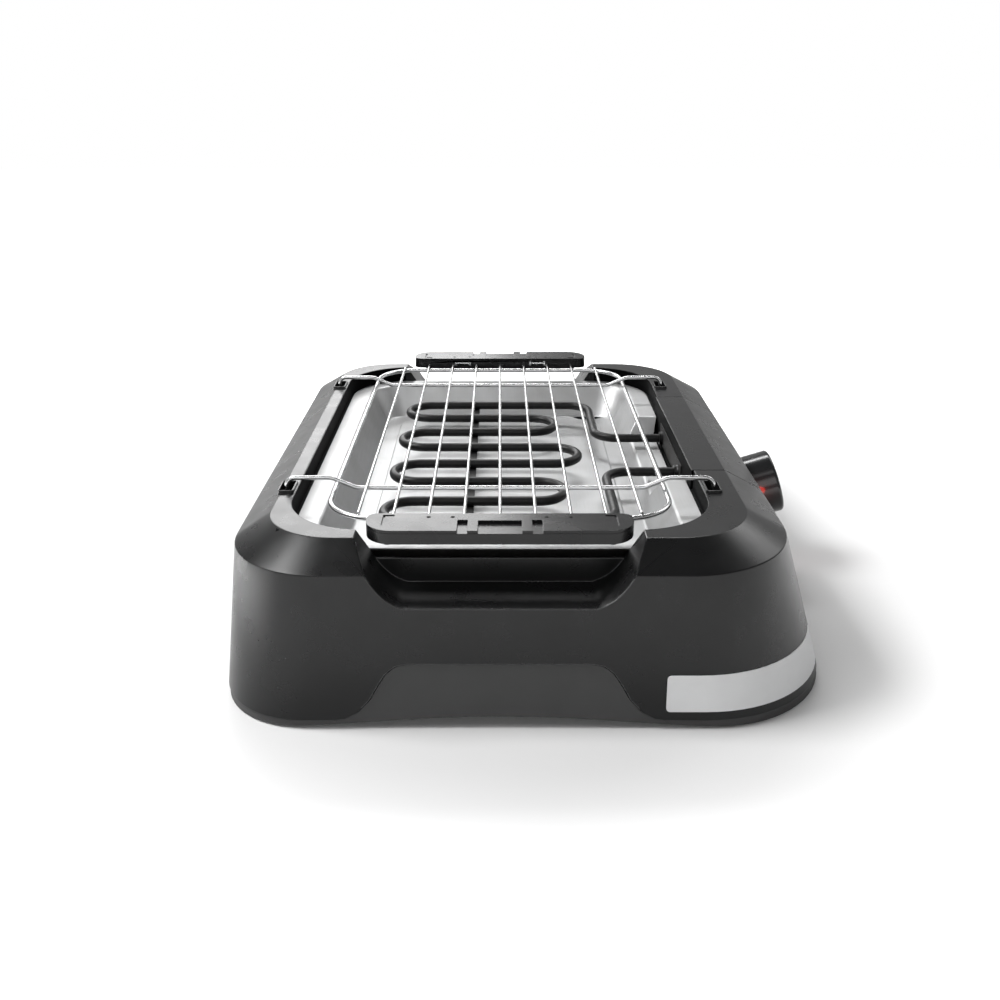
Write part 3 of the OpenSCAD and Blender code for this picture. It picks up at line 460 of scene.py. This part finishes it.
# %% Pale and white plastics, rubber
pale = new_finish("pale_plastic", (0.82, 0.825, 0.83), 0, 0.42)
cloudy(pale, 30, 4, (0.8, 0.805, 0.81), (0.85, 0.855, 0.86))
use(pale, "Roughness", numbers(pale, noise(pale, 3, 4, (6, 1, 1)), 0.36, 0.46))
bumps(pale, [(noise(pale, 0.7, 2), 0.004)])

white = new_finish("white_plastic", (0.72, 0.7, 0.65), 0, 0.45)
cloudy(white, 9, 4, (0.74, 0.73, 0.7), (0.64, 0.6, 0.51))
use(white, "Roughness", numbers(white, noise(white, 4, 3), 0.38, 0.52))
bumps(white, [(noise(white, 0.5, 2), 0.008)])

rubber = new_finish("foot_rubber", (0.012, 0.012, 0.012), 0, 0.75)
dust = numbers(rubber, noise(rubber, 3, 5), 0, 1, 0.5, 0.75)
use(rubber, "Base Color", blend_colours(rubber, dust, (0.011, 0.011, 0.011), (0.05, 0.048, 0.045)))
use(rubber, "Roughness", numbers(rubber, noise(rubber, 2, 4), 0.66, 0.86))
bumps(rubber, [(noise(rubber, 0.4, 3), 0.03)])
print("pale plastics and rubber made")

# %% [markdown]
# The reflector tray is deep-drawn bright steel, dulled a little by heat. Its rolling marks are
# a noise that is stretched along the sheet, both in the roughness and as a very shallow bump,
# and the sheet carries the faint waves that a press leaves.

# %% Tray steel
tray = new_finish("tray_steel", (0.42, 0.423, 0.426), 1, 0.52)
marks = noise(tray, 0.5, 4, (1, 60, 60))
stain = numbers(tray, noise(tray, 45, 5, distortion=0.6), 0, 1, 0.42, 0.75)
use(tray, "Base Color", blend_colours(tray, stain, (0.44, 0.443, 0.446), (0.39, 0.39, 0.388)))
use(tray, "Roughness", numbers(tray, marks, 0.47, 0.57))
bumps(tray, [(noise(tray, 70, 1), 0.06), (marks, 0.0005)])

# %% [markdown]
# The rack is wire that was welded first and then chromed, so the plating is bright but not
# perfect, with tiny pits and a faint haze. Screws are zinc plated, which is greyer, with
# turning marks. The heat shield is very dark sheet steel.

# %% Bright plating and zinc
chrome = new_finish("rack_chrome", (0.6, 0.605, 0.61), 1, 0.24)
haze = numbers(chrome, noise(chrome, 14, 4), 0, 1, 0.4, 0.7)
use(chrome, "Base Color", blend_colours(chrome, haze, (0.62, 0.625, 0.63), (0.54, 0.54, 0.54)))
use(chrome, "Roughness", numbers(chrome, noise(chrome, 7, 5), 0.2, 0.28))
bumps(chrome, [(noise(chrome, 0.9, 4), 0.006)])

zinc = new_finish("screw_steel", (0.55, 0.56, 0.58), 1, 0.34)
cloudy(zinc, 2.5, 4, (0.6, 0.61, 0.62), (0.42, 0.42, 0.4))
use(zinc, "Roughness", numbers(zinc, noise(zinc, 0.8, 3, (1, 1, 8)), 0.28, 0.44))
bumps(zinc, [(noise(zinc, 0.25, 2), 0.004)])

shield = new_finish("shield_steel", (0.03, 0.03, 0.031), 0.4, 0.6, 0.2)
cloudy(shield, 22, 4, (0.034, 0.034, 0.035), (0.024, 0.023, 0.021))
use(shield, "Roughness", numbers(shield, noise(shield, 0.6, 3, (40, 1, 1)), 0.52, 0.68))
bumps(shield, [(noise(shield, 0.8, 3), 0.004)])
print("metals made")

# %% [markdown]
# The heater tube is steel with a black oxide skin: satin, with a slightly browner bloom in
# patches and pale specks. Its strap is the same, duller. Neither glows here.

# %% Black oxide
def black_oxide(name, colour, roughness, patch):
    finish = new_finish(name, colour, 0, roughness, 0.25)
    bloom = numbers(finish, noise(finish, 16, 5, distortion=0.5), 0, 1, 0.4, 0.72)
    speck = numbers(finish, noise(finish, 1.4, 3), 0, 0.25, 0.6, 0.85)
    skin = blend_colours(finish, bloom, colour, patch)
    use(finish, "Base Color", blend_colours(finish, speck, skin, (0.05, 0.048, 0.045)))
    drift = noise(finish, 6, 4)
    use(finish, "Roughness", numbers(finish, drift, roughness - 0.07, roughness + 0.07))
    bumps(finish, [(noise(finish, 0.5, 3), 0.01)])


black_oxide("element_black", (0.005, 0.005, 0.0053), 0.4, (0.008, 0.0074, 0.007))
black_oxide("strap_steel", (0.007, 0.007, 0.0073), 0.48, (0.012, 0.011, 0.01))
print("black oxide made")

# %% Inside parts: thermostat, lamp and lens
brown = new_finish("thermostat_body", (0.2, 0.16, 0.1), 0, 0.45)
cloudy(brown, 5, 4, (0.22, 0.17, 0.1), (0.14, 0.11, 0.07))
use(brown, "Roughness", numbers(brown, noise(brown, 3, 3), 0.38, 0.55))
bumps(brown, [(noise(brown, 0.6, 3), 0.01)])

lamp = new_finish("lamp_glass", (0.95, 0.55, 0.3), 0, 0.08)
inputs_of(lamp)["Transmission Weight"].default_value = 0.8
cloudy(lamp, 3, 2, (0.95, 0.6, 0.35), (0.9, 0.42, 0.2))
bumps(lamp, [(noise(lamp, 1.5, 2), 0.01)])

lens = new_finish("red_lens", (0.55, 0.012, 0.008), 0, 0.16)
inputs_of(lens)["Emission Color"].default_value = (1, 0.03, 0.015, 1)
inputs_of(lens)["Emission Strength"].default_value = 2.5
cloudy(lens, 2, 3, (0.6, 0.015, 0.01), (0.42, 0.008, 0.006))
bumps(lens, [(noise(lens, 0.8, 2), 0.008)])
print("finishes:", len(finishes), "of", len(set(slot_of.values())), "slots")

# %% [markdown]
# ## Dressing the CAD's own solids
# The CAD gives exact shapes with knife-sharp edges, and no moulding tool cuts an edge like
# that. A copy of each solid is joined up, flat faces are merged, and a Bevel modifier turns
# each sharp edge into a small round that catches light. Weighted normals keep the big faces
# flat-looking next to it. The copy then stands for the CAD node, which stays for the physics.

# %% A joined-up copy of a CAD solid
def clean_copy(name):
    """a copy to work on, with its facets' shared points and flat faces merged"""
    deselect_all()
    piece = bpy.data.objects.new(name + "_dressed", node[name].data.copy())
    bpy.context.scene.collection.objects.link(piece)
    pick_up(piece)
    bpy.ops.object.mode_set(mode="EDIT")
    bpy.ops.mesh.select_all(action="SELECT")
    bpy.ops.mesh.remove_doubles(threshold=mm(0.05))
    bpy.ops.mesh.dissolve_limited(angle_limit=math.radians(0.5))
    bpy.ops.mesh.normals_make_consistent(inside=False)
    leave_edit()
    return piece


# %% Rounding its edges
def round_edges(piece, width, segments=2, angle=24):
    pick_up(piece)
    bpy.ops.object.modifier_add(type="BEVEL")
    bevel = piece.modifiers[-1]
    bevel.width = mm(width)
    bevel.segments = segments
    bevel.limit_method = "ANGLE"
    bevel.angle_limit = math.radians(angle)
    bevel.use_clamp_overlap = False
    bevel.miter_outer = "MITER_ARC"
    bpy.ops.object.modifier_apply(modifier=bevel.name)


def smooth(piece, angle=32):
    """smooth shading up to that angle, with normals that follow the large faces"""
    pick_up(piece)
    bpy.ops.object.shade_smooth_by_angle(angle=math.radians(angle))
    bpy.ops.object.modifier_add(type="WEIGHTED_NORMAL")
    piece.modifiers[-1].keep_sharp = True
    piece.modifiers[-1].weight = 90
    bpy.ops.object.modifier_apply(modifier=piece.modifiers[-1].name)


# %% Giving a piece its finish and body
def stands_for(piece, *names):
    """the piece takes the finish and the body of the CAD nodes it stands for"""
    piece.data.materials.clear()
    piece.data.materials.append(finishes[slot_of[names[0]]])
    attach(piece, body_of[names[0]])
    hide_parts(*names)
    deselect_all()


# %% Edge rounds of each solid, in mm
edge_round = {"housing_shell": 0.7, "control_cover": 0.5, "base_pan": 0.5, "knob": 0.4,
              "front_handle_base": 0.18, "front_handle_cover": 0.22, "rear_handle_base": 0.18,
              "rear_handle_cover": 0.22, "element_strap": 0.2, "thermostat_body": 0.4,
              "terminal_block": 0.3, "interlock_switch": 0.4, "control_floor": 0.2,
              "handle_clips": 0.2, "pale_strip": 0.1, "shaft_nut": 0.15, "knob_insert": 0.15,
              "heat_shield": 0.15}
# these are made afresh further down, and not dressed
made_new = ("reflector_tray", "heating_element", "rack_frame", "rack_grid", "rack_cross_wires")
total = 0
for name in sorted(node):
    if name in made_new:
        continue
    piece = clean_copy(name)
    if name in edge_round:
        round_edges(piece, edge_round[name])
    smooth(piece)
    stands_for(piece, name)
    total += len(piece.data.polygons)
    print(name, "faces", len(piece.data.polygons))
print("dressed faces in all:", total)

# %% [markdown]
# ## Reflector tray
# The tray is one sheet drawn down by a press, so it is made as a press would leave it: loops
# with round corners are laid out flat, bridged into walls and a floor, the folds are rounded,
# and only then Solidify gives the sheet its 0.8 mm. The right side is pushed down under the
# heater's leads, with a ramp on either side.

# %% One rounded loop of the tray
def rounded_loop(half_x, half_y, radius, z):
    deselect_all()
    bpy.ops.mesh.primitive_plane_add(size=2, location=at(0, 0, z))
    loop = bpy.context.object
    loop.scale = (mm(half_x), mm(half_y), 1)
    bpy.ops.object.transform_apply(location=True, rotation=True, scale=True)
    bpy.ops.object.mode_set(mode="EDIT")
    bpy.ops.mesh.select_all(action="SELECT")
    bpy.ops.mesh.bevel(offset=mm(radius), segments=14, affect="VERTICES")
    bpy.ops.mesh.delete(type="ONLY_FACE")
    leave_edit()
    return loop


def on_loop(half_x, half_y, radius, z):
    """a test that is true for points on that loop"""
    def test(co):
        x = abs(co.x - rack_mid) - mm(half_x - radius)
        y = abs(co.y) - mm(half_y - radius)
        gap = math.hypot(max(x, 0), max(y, 0)) + min(max(x, y), 0) - mm(radius)
        return abs(co.z - mm(z)) < 1e-5 and abs(gap) < mm(0.08)
    return test


# %% Flange, walls and floor of the tray
FLANGE_X, MOUTH_X, FLANGE_Z, FLOOR_Z = 153, 135, 115, 85
# half width, half length, corner radius and height: the flange's rim, the mouth, the floor's
# rim, and the foot and top of the raised panel in the floor
tray_loops = [(FLANGE_X, 220, 57, FLANGE_Z), (MOUTH_X, 202, 28, FLANGE_Z), (119, 186, 20, FLOOR_Z),
              (103.5, 170.5, 20.5, FLOOR_Z), (102.3, 169.3, 19.3, FLOOR_Z + 1.5)]
tray_sheet = join_all([rounded_loop(*size) for size in tray_loops], "tray_sheet")
for outer, inner in zip(tray_loops, tray_loops[1:]):
    a, b = on_loop(*outer), on_loop(*inner)
    picked = edit_verts(tray_sheet, lambda co: a(co) or b(co))
    bpy.ops.mesh.bridge_edge_loops()
    print("bridged", picked, "vertices")
edit_verts(tray_sheet, on_loop(*tray_loops[-1]))
bpy.ops.mesh.edge_face_add()
bpy.ops.mesh.select_all(action="SELECT")
bpy.ops.mesh.normals_make_consistent(inside=False)
leave_edit()
floor_face = max(tray_sheet.data.polygons, key=lambda f: f.area)
if floor_face.normal.z < 0:
    edit_verts(tray_sheet, lambda co: True)
    bpy.ops.mesh.flip_normals()
    leave_edit()
print("floor faces up:", max(tray_sheet.data.polygons, key=lambda f: f.area).normal.z > 0)

# %% The dip under the heater's leads
UNIT_Y = 3                          # the control box's middle, and the dip's
DIP_LOW, DIP_TOP = 78, 86.4         # half the dip's length, at its foot and at its top
DIP_DEPTH = 16.5


def on_right_side(co):
    """true for the right wall and its flange, between the corners"""
    return co.x > rack_mid + mm(118) and abs(co.y) < mm(175) and co.z > mm(84)


def in_dip(co, x):
    """true for the points along the dip's low part that lie at x"""
    low_part = abs(co.y - mm(UNIT_Y)) < mm(DIP_LOW + 0.1) and co.z > mm(FLANGE_Z - 0.1)
    return low_part and abs(co.x - at(x, 0, 0).x) < 1e-5


for y in (-DIP_TOP, -DIP_LOW, DIP_LOW, DIP_TOP):
    edit_verts(tray_sheet, on_right_side)
    bpy.ops.mesh.bisect(plane_co=at(0, UNIT_Y + y, 0), plane_no=(0, 1, 0))
    leave_edit()
for x, inward in ((MOUTH_X, 8.8), (FLANGE_X, 3)):
    edit_verts(tray_sheet, lambda co: in_dip(co, x))
    bpy.ops.transform.translate(value=(mm(-inward), 0, mm(-DIP_DEPTH)))
leave_edit()
print("tray vertices", len(tray_sheet.data.vertices))

# %% Rounded folds, then the sheet's thickness
def fold_edges(piece, test, width, segments):
    """rounds the edges that pass the test and are real folds, of over 12 degrees"""
    edit_verts(piece, lambda co: False)
    bpy.ops.mesh.select_mode(type="EDGE")
    mesh = bmesh.from_edit_mesh(piece.data)
    count = 0
    for e in mesh.edges:
        if len(e.link_faces) == 2 and e.calc_face_angle(0) > math.radians(12) and test(e):
            e.select_set(True)
            count += 1
    bmesh.update_edit_mesh(piece.data)
    bpy.ops.mesh.bevel(offset=mm(width), segments=segments, affect="EDGES", clamp_overlap=False)
    leave_edit()
    return count


def on_floor(co):
    """true for the raised panel in the floor and the fold around it"""
    return abs(co.x - rack_mid) < mm(104.5) and abs(co.y) < mm(171.5)


def is_panel(e):
    return all(v.co.z < mm(86.6) and on_floor(v.co) for v in e.verts)


def is_outer_fold(e):
    return not all(on_floor(v.co) for v in e.verts)


print("panel folds", fold_edges(tray_sheet, is_panel, 0.7, 2))
print("other folds", fold_edges(tray_sheet, is_outer_fold, 1.8, 4))
pick_up(tray_sheet)
bpy.ops.object.modifier_add(type="SOLIDIFY")
solidify = tray_sheet.modifiers[-1]
solidify.thickness = mm(0.8)
solidify.offset = -1
solidify.use_even_offset = True
bpy.ops.object.modifier_apply(modifier=solidify.name)
smooth(tray_sheet, 40)
stands_for(tray_sheet, "reflector_tray")
print("tray faces", len(tray_sheet.data.polygons))

# %% [markdown]
# ## Bent tube and wire
# The heater, the rack's frame and its cross wires are all bent on a machine: straight runs
# with round bends of one radius. By hand in Blender that is one vertex extruded from corner to
# corner, each corner rounded with a vertex bevel, and the line turned into a curve that gets
# its thickness. It becomes a mesh again at the end, with its ends closed.

# %% Bending a wire
def bent_wire(name, corners, radius, thick, steps=10, sides=5):
    """corners in mm; radius is one bend radius, or one for each inner corner"""
    deselect_all()
    bpy.ops.mesh.primitive_plane_add(size=0.001, location=at(*corners[0]))
    wire = bpy.context.object
    wire.name = name
    bpy.ops.object.transform_apply(location=True, rotation=True, scale=True)
    bpy.ops.object.mode_set(mode="EDIT")
    bpy.ops.mesh.select_mode(type="VERT")
    bpy.ops.mesh.select_all(action="SELECT")
    bpy.ops.mesh.merge(type="CENTER")
    for a, b in zip(corners, corners[1:]):
        bpy.ops.mesh.extrude_region_move(TRANSFORM_OT_translate={"value": at(*b) - at(*a)})
    for i in range(1, len(corners) - 1):
        bend = radius[i - 1] if isinstance(radius, (list, tuple)) else radius
        here = at(*corners[i])
        turn = math.pi - (at(*corners[i - 1]) - here).angle(at(*corners[i + 1]) - here)
        edit_verts(wire, lambda co: (co - here).length < 1e-5)
        bpy.ops.mesh.bevel(offset=mm(bend) * math.tan(turn / 2), segments=steps,
                           affect="VERTICES", clamp_overlap=False)
    leave_edit()
    return thicken(wire, thick, sides)


def thicken(wire, thick, sides=5):
    """gives a line of edges a round section of that diameter in mm"""
    pick_up(wire)
    bpy.ops.object.convert(target="CURVE")
    wire = bpy.context.object
    wire.data.bevel_depth = mm(thick / 2)
    wire.data.bevel_resolution = sides
    wire.data.use_fill_caps = True
    bpy.ops.object.convert(target="MESH")
    wire = bpy.context.object
    bpy.ops.object.mode_set(mode="EDIT")
    bpy.ops.mesh.select_all(action="SELECT")
    bpy.ops.mesh.remove_doubles(threshold=mm(0.01))
    bpy.ops.mesh.normals_make_consistent(inside=False)
    leave_edit()
    pick_up(wire)
    bpy.ops.object.shade_smooth_by_angle(angle=math.radians(40))
    return wire


# %% Heater tube
HALF_PITCH, LEAD_Y, TUBE_Z = 22.15, 45.7, 106.5
run = [HALF_PITCH * k for k in (1, 3, 5, 7)]           # the runs' distances from the middle
left, side, mid, lead, far = -91.5, 52.8, 70.2, 90.5, 168.5   # where runs and leads turn or end
front = [(far, UNIT_Y - LEAD_Y), (lead, UNIT_Y - LEAD_Y), (lead, -run[3]), (left, -run[3]),
         (left, -run[2]), (side, -run[2]), (side, -run[1]), (left, -run[1]), (left, -run[0]),
         (mid, -run[0])]
back = [(x, -y) for x, y in reversed(front[2:])] + [(lead, UNIT_Y + LEAD_Y), (far, UNIT_Y + LEAD_Y)]
tube_corners = [(x, y, TUBE_Z) for x, y in front + back]
tube_bends = [HALF_PITCH - 0.01] * (len(tube_corners) - 2)
tube_bends[0] = tube_bends[-1] = 20
heater_tube = bent_wire("heater_tube", tube_corners, tube_bends, 8, steps=14, sides=7)
stands_for(heater_tube, "heating_element")
print("heater tube:", len(tube_corners) - 2, "bends,", len(heater_tube.data.polygons), "faces")

# %% [markdown]
# ## Wire rack
# A 4 mm frame wire is bent to a rounded rectangle, nine thinner wires are welded across it
# from handle to handle, and two cross wires run under them and rise at both ends into the
# housing's pockets. Each crossing is a spot weld, which leaves a small flattened bead.

# %% Frame wire
FRAME_Y, FRAME_D, CROSS_Y, CROSS_D = 204.5, 4, 144.5, 3.5   # places and diameters of wires
frame_loop = rounded_loop(126, FRAME_Y, 37, 131)
frame_loop.name = "rack_frame_wire"
frame_wire = thicken(frame_loop, FRAME_D, 6)
stands_for(frame_wire, "rack_frame")
print("frame wire faces", len(frame_wire.data.polygons))

# %% Grid wires
GRID_Z, GRID_PITCH, GRID_D = 134.1, 25.4, 2.5
IN_HANDLE, AT_FRAME = 229.5, 202.5     # how far the inner seven and the outer two wires reach
rows = range(-4, 5)
grid = []
for i in rows:
    reach = IN_HANDLE if abs(i) < 4 else AT_FRAME
    ends = [(i * GRID_PITCH, -reach, GRID_Z), (i * GRID_PITCH, reach, GRID_Z)]
    wire = bent_wire("grid_wire", ends, 1, GRID_D, sides=6)
    round_edges(wire, 0.3, 2, 60)
    grid.append(wire)
grid_wires = join_all(grid, "rack_grid_wires")
pick_up(grid_wires)
bpy.ops.object.shade_smooth_by_angle(angle=math.radians(40))
stands_for(grid_wires, "rack_grid")
print("grid wires", len(grid))

# %% Cross wires that rise over the frame and turn down into the pockets
CROSS_Z, HUMP_Z, END_X, END_Z = 131.25, 139.5, 163.5, 123.4
cross = []
for y in (-CROSS_Y, CROSS_Y):
    half = [(110, y, CROSS_Z), (129, y, HUMP_Z), (END_X, y, HUMP_Z), (END_X, y, END_Z)]
    corners = [(-x, y, z) for x, y, z in reversed(half)] + half
    wire = bent_wire("cross_wire", corners, [6.5, 12, 12, 12, 12, 6.5], CROSS_D, steps=8, sides=6)
    round_edges(wire, 0.4, 2, 60)
    cross.append(wire)
cross_wires = join_all(cross, "rack_cross_bends")
stands_for(cross_wires, "rack_cross_wires")
print("cross wires", len(cross))

# %% Spot welds
WELD_Z, OUTER_WELD_Y = 133, 202     # the outer two wires meet the frame in its bends


def weld_bead(x, y, z):
    """a flattened bead, a little squarer at the top where the electrode pressed"""
    deselect_all()
    bpy.ops.mesh.primitive_uv_sphere_add(segments=12, ring_count=8, radius=1, location=at(x, y, z))
    bead = bpy.context.object
    bead.scale = (mm(1.75), mm(1.9), mm(1.0))
    bpy.ops.object.transform_apply(location=True, rotation=True, scale=True)
    edit_verts(bead, lambda co: co.z > mm(z) + mm(0.3))
    bpy.ops.transform.resize(value=(0.82, 0.9, 1), center_override=at(x, y, z))
    leave_edit()
    return bead


welds = []
for i in rows:
    end = FRAME_Y if abs(i) < 4 else OUTER_WELD_Y
    for y in (-end, -CROSS_Y, CROSS_Y, end):
        welds.append(weld_bead(i * GRID_PITCH, y, WELD_Z))
weld_beads = join_all(welds, "rack_spot_welds")
pick_up(weld_beads)
bpy.ops.object.shade_smooth()
weld_beads.data.materials.append(finishes["rack_chrome"])
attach(weld_beads, "rack")
print("spot welds", len(welds))

# %% Letting go of the selection
deselect_all()
